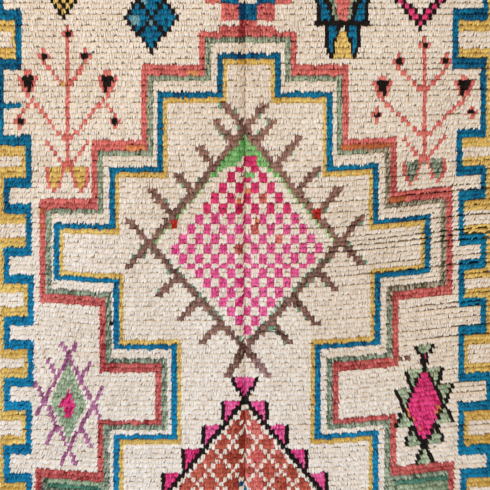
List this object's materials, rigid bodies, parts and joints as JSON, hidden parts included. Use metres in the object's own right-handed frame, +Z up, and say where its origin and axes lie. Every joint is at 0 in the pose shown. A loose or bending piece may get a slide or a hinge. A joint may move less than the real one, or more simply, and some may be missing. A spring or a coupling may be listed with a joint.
{
  "type": "hand-knotted pile rug",
  "caption": "Flat cut length of a hand-knotted wool pile rug with ribbed rows of tufts, stepped bands, a checked lozenge and toothed borders; lies pile up on a floor.",
  "frame": {"origin": "on the floor under the middle of the rug, at the bottom centre of its box", "axes": "+Z up out of the pile, rows of knots run along X, tufts lean towards -Y"},
  "size_m": [1, 1, 0.0145],
  "materials": {
    "pile_wool": "matt knotted wool pile, undyed cream ground with dyed motifs in blue, yellow, coral, sage, brown, pink, black, purple and green"
  },
  "bodies": {
    "root": {"pile_rug": "pile_wool"}
  },
  "joints": []
}
